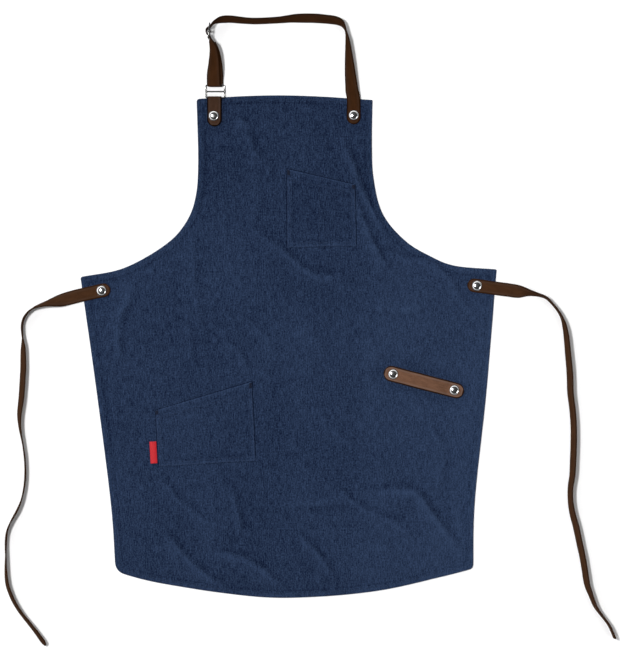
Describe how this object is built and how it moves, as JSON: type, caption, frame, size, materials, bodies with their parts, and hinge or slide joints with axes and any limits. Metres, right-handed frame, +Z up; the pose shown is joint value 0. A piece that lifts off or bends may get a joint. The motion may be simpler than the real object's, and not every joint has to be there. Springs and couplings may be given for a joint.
{
  "type": "bib apron",
  "caption": "Denim bib apron laid flat, with leather neck strap on a slide and ring, waist ties, patch pockets and a riveted utility loop.",
  "frame": {"origin": "on the surface the apron lies on, at the middle of the footprint of the panel and neck loop", "axes": "+Z up out of the cloth's face, +Y towards the neck, +X to the right as the apron is looked at"},
  "size_m": [0.9529, 0.9847, 0.0294],
  "materials": {
    "denim": "blue cotton twill, matt",
    "red_ribbon": "red woven ribbon, slight sheen",
    "dark_leather": "dark brown oiled leather, satin",
    "brown_leather": "brown leather, satin",
    "light_leather": "lighter brown leather, satin",
    "chrome": "polished",
    "plated_post": "dull plated"
  },
  "bodies": {
    "apron": {"body_panel": "denim", "bib_pocket": "denim", "hip_pocket": "denim", "label_tab": "red_ribbon", "ring_tab": "brown_leather", "neck_strap_end": "dark_leather", "utility_loop": "light_leather", "rivet_cap_tab": "chrome", "rivet_cap_strap": "chrome", "rivet_cap_loop_inner": "chrome", "rivet_cap_loop_outer": "chrome", "rivet_post_tab": "plated_post", "rivet_post_strap": "plated_post", "rivet_post_left_tie": "plated_post", "rivet_post_right_tie": "plated_post", "rivet_post_loop_inner": "plated_post", "rivet_post_loop_outer": "plated_post"},
    "neck_loop": {"ring": "chrome", "neck_strap": "dark_leather"},
    "adjuster": {"slider": "chrome", "strap_tail": "dark_leather"},
    "left_waist_tie": {"left_tie": "brown_leather", "rivet_cap_left_tie": "chrome"},
    "right_waist_tie": {"right_tie": "brown_leather", "rivet_cap_right_tie": "chrome"}
  },
  "joints": [
    {"name": "neck_loop_lift", "type": "hinge", "parent": "apron", "child": "neck_loop", "pos_m": [-0.1144, 0.32438, 0.0046], "axis": [1, 0, 0], "range_deg": [0, 100]},
    {"name": "slider_travel", "type": "slide", "parent": "neck_loop", "child": "adjuster", "axis": [0.1045, 0.9945, 0], "range_m": [-0.001, 0.002]},
    {"name": "left_tie_swivel", "type": "hinge", "parent": "apron", "child": "left_waist_tie", "pos_m": [-0.2918, 0.02393, 0], "axis": [0, 0, 1], "range_deg": [-75, 18]},
    {"name": "right_tie_swivel", "type": "hinge", "parent": "apron", "child": "right_waist_tie", "pos_m": [0.2937, 0.03153, 0], "axis": [0, 0, 1], "range_deg": [-16, 75]}
  ]
}
